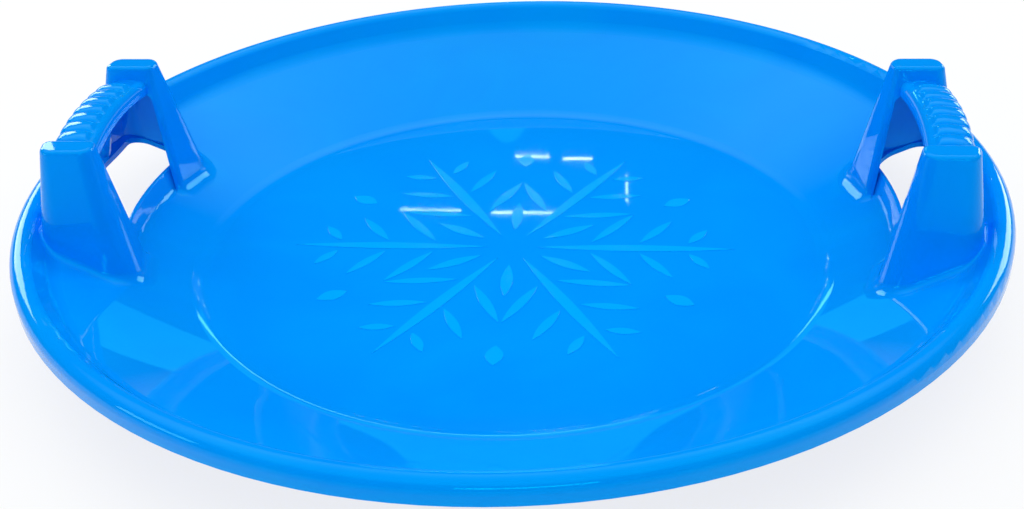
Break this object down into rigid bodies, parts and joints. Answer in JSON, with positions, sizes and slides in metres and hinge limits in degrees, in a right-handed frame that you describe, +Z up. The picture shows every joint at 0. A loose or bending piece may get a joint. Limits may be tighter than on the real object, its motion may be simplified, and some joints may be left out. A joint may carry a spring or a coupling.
{
  "type": "saucer sled",
  "caption": "Round moulded plastic saucer sled: a shallow dish with a rolled rim and raised ribbed hand grips on hollow posts at its two sides.",
  "frame": {"origin": "middle of the flat underside, on the ground", "axes": "+Z up, X through the two hand grips, Y from the near edge to the far edge"},
  "size_m": [0.6, 0.6, 0.104],
  "materials": {
    "blue_plastic": "smooth glossy moulded plastic, bright blue through and through"
  },
  "bodies": {
    "root": {"dish": "blue_plastic", "left_front_post": "blue_plastic", "left_rear_post": "blue_plastic", "right_front_post": "blue_plastic", "right_rear_post": "blue_plastic", "left_grip": "blue_plastic", "right_grip": "blue_plastic"}
  },
  "joints": []
}
